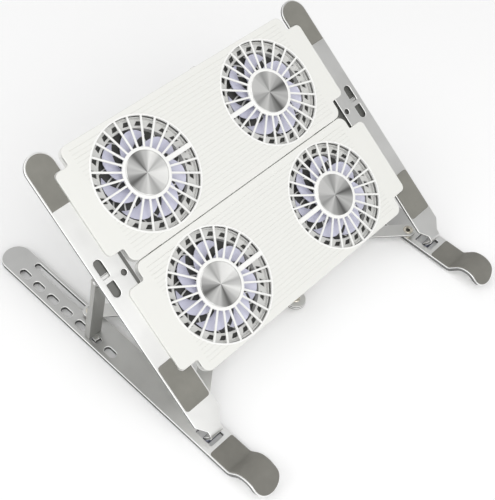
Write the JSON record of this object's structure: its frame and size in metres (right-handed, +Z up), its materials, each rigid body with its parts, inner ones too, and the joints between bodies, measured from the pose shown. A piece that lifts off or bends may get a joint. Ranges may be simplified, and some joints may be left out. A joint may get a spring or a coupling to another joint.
{
  "type": "laptop cooling pad",
  "caption": "Folding aluminium laptop stand with tilted arms, hooked legs, props in latch holes and a clip-on pad of fans under round spoked grilles.",
  "frame": {"origin": "under the feet, in the middle of the footprint", "axes": "+X across the stand to the right arm, +Y to the back where the deck is highest, +Z up"},
  "size_m": [0.2596, 0.2609, 0.1332],
  "materials": {
    "aluminium_leg": "satin anodised",
    "aluminium_arm": "satin anodised",
    "strut_metal": "satin, dark from shade",
    "brace_metal": "satin",
    "bright_steel": "bright",
    "rivet_metal": "nickel-plated brass",
    "grey_silicone": "matt silicone",
    "white_plastic": "fine satin moulding",
    "fan_white": "translucent white",
    "frame_grey": "pale grey moulding",
    "brushed_disc": "radially brushed",
    "copper": "enamelled winding",
    "board_green": "solder mask",
    "socket_metal": "stamped shell"
  },
  "bodies": {
    "left_leg": {"left_leg": "aluminium_leg", "left_hook_pad": "grey_silicone", "left_feet": "grey_silicone", "left_hinge_pin": "bright_steel", "front_left_rivet": "rivet_metal"},
    "left_arm": {"left_arm": "aluminium_arm", "left_arm_upper_pad": "grey_silicone", "left_arm_lower_pad": "grey_silicone", "left_strut_bracket": "strut_metal", "left_strut_pin": "bright_steel"},
    "left_strut": {"left_strut": "strut_metal", "left_latch_tongue": "bright_steel"},
    "cooling_pad": {"rear_panel": "white_plastic", "front_panel": "white_plastic", "rear_cover": "white_plastic", "front_cover": "white_plastic", "panel_link": "aluminium_arm", "control_board": "board_green", "inlet_socket": "socket_metal", "cover_screws": "bright_steel", "rear_left_hub_cap": "brushed_disc", "rear_left_fan_frame": "frame_grey", "rear_left_stator": "copper", "rear_right_hub_cap": "brushed_disc", "rear_right_fan_frame": "frame_grey", "rear_right_stator": "copper", "front_left_hub_cap": "brushed_disc", "front_left_fan_frame": "frame_grey", "front_left_stator": "copper", "front_right_hub_cap": "brushed_disc", "front_right_fan_frame": "frame_grey", "front_right_stator": "copper"},
    "rear_left_fan": {"rear_left_rotor": "fan_white"},
    "rear_right_fan": {"rear_right_rotor": "fan_white"},
    "front_left_fan": {"front_left_rotor": "fan_white"},
    "front_right_fan": {"front_right_rotor": "fan_white"},
    "speed_button": {"speed_button": "white_plastic"},
    "front_left_bar": {"front_left_bar": "brace_metal", "left_cross_rivet": "rivet_metal", "rear_centre_rivet": "rivet_metal"},
    "front_right_bar": {"front_right_bar": "brace_metal", "right_cross_rivet": "rivet_metal"},
    "rear_left_bar": {"rear_left_bar": "brace_metal", "left_slot_pin": "rivet_metal", "front_centre_rivet": "rivet_metal"},
    "rear_right_bar": {"rear_right_bar": "brace_metal", "right_slot_pin": "rivet_metal"},
    "right_leg": {"right_leg": "aluminium_leg", "right_hook_pad": "grey_silicone", "right_feet": "grey_silicone", "right_hinge_pin": "bright_steel", "front_right_rivet": "rivet_metal"},
    "right_arm": {"right_arm": "aluminium_arm", "right_arm_upper_pad": "grey_silicone", "right_arm_lower_pad": "grey_silicone", "right_strut_bracket": "strut_metal", "right_strut_pin": "bright_steel"},
    "right_strut": {"right_strut": "strut_metal", "right_latch_tongue": "bright_steel"}
  },
  "joints": [
    {"name": "deck_lift", "type": "hinge", "parent": "left_leg", "child": "left_arm", "pos_m": [-0.1182, -0.0766, 0.0032], "axis": [1, 0, 0], "range_deg": [0, 35]},
    {"name": "right_deck_lift", "type": "hinge", "parent": "right_leg", "child": "right_arm", "pos_m": [0.1182, -0.0766, 0.0032], "axis": [1, 0, 0], "range_deg": [0, 35]},
    {"name": "left_strut_swing", "type": "hinge", "parent": "left_arm", "child": "left_strut", "pos_m": [-0.1221, 0.02279, 0.0764], "axis": [1, 0, 0], "range_deg": [0, 115.5]},
    {"name": "right_strut_swing", "type": "hinge", "parent": "right_arm", "child": "right_strut", "pos_m": [0.1221, 0.02279, 0.0764], "axis": [1, 0, 0], "range_deg": [0, 115.5]},
    {"name": "pad_lift_off", "type": "slide", "parent": "left_arm", "child": "cooling_pad", "axis": [0, -0.5736, 0.8192], "range_m": [0, 0.2788]},
    {"name": "front_left_brace_turn", "type": "hinge", "parent": "left_leg", "child": "front_left_bar", "pos_m": [-0.1126, -0.0602, 0.0048], "axis": [0, 0, 1], "range_deg": [0, 35.5]},
    {"name": "rear_centre_brace_turn", "type": "hinge", "parent": "front_left_bar", "child": "front_right_bar", "pos_m": [0, 0.03014, 0.0048], "axis": [0, 0, 1], "range_deg": [-71, 0]},
    {"name": "front_right_brace_turn", "type": "hinge", "parent": "front_right_bar", "child": "right_leg", "pos_m": [0.1126, -0.0602, 0.0048], "axis": [0, 0, 1], "range_deg": [0, 35.5]},
    {"name": "left_cross_turn", "type": "hinge", "parent": "front_left_bar", "child": "rear_left_bar", "pos_m": [-0.04617, -0.0069, 0.0048], "axis": [0, 0, 1], "range_deg": [-71, 0]},
    {"name": "right_cross_turn", "type": "hinge", "parent": "front_right_bar", "child": "rear_right_bar", "pos_m": [0.04617, -0.0069, 0.0048], "axis": [0, 0, 1], "range_deg": [0, 71]},
    {"name": "rear_left_fan_spin", "type": "hinge", "parent": "cooling_pad", "child": "rear_left_fan", "pos_m": [-0.0587, 0.05242, 0.10226], "axis": [0, -0.5736, 0.8192], "continuous": true},
    {"name": "rear_right_fan_spin", "type": "hinge", "parent": "cooling_pad", "child": "rear_right_fan", "pos_m": [0.0587, 0.05242, 0.10226], "axis": [0, -0.5736, 0.8192], "continuous": true},
    {"name": "front_left_fan_spin", "type": "hinge", "parent": "cooling_pad", "child": "front_left_fan", "pos_m": [-0.0587, -0.01869, 0.05248], "axis": [0, -0.5736, 0.8192], "continuous": true},
    {"name": "front_right_fan_spin", "type": "hinge", "parent": "cooling_pad", "child": "front_right_fan", "pos_m": [0.0587, -0.01869, 0.05248], "axis": [0, -0.5736, 0.8192], "continuous": true},
    {"name": "speed_button_press", "type": "slide", "parent": "cooling_pad", "child": "speed_button", "axis": [0, -0.8192, -0.5736], "range_m": [0, 0.0008], "stiffness_N_per_m": 300, "springref_m": -0.001}
  ],
  "couplings": [
    {"joint": "right_deck_lift", "follows": "deck_lift", "ratio": 1},
    {"joint": "left_strut_swing", "follows": "deck_lift", "ratio": 3.3},
    {"joint": "right_strut_swing", "follows": "deck_lift", "ratio": 3.3},
    {"joint": "front_left_brace_turn", "follows": "pad_lift_off", "rad_per_m": 2.2224},
    {"joint": "rear_centre_brace_turn", "follows": "pad_lift_off", "rad_per_m": -4.4447},
    {"joint": "front_right_brace_turn", "follows": "pad_lift_off", "rad_per_m": 2.2224},
    {"joint": "left_cross_turn", "follows": "pad_lift_off", "rad_per_m": -4.4447},
    {"joint": "right_cross_turn", "follows": "pad_lift_off", "rad_per_m": 4.4447}
  ]
}
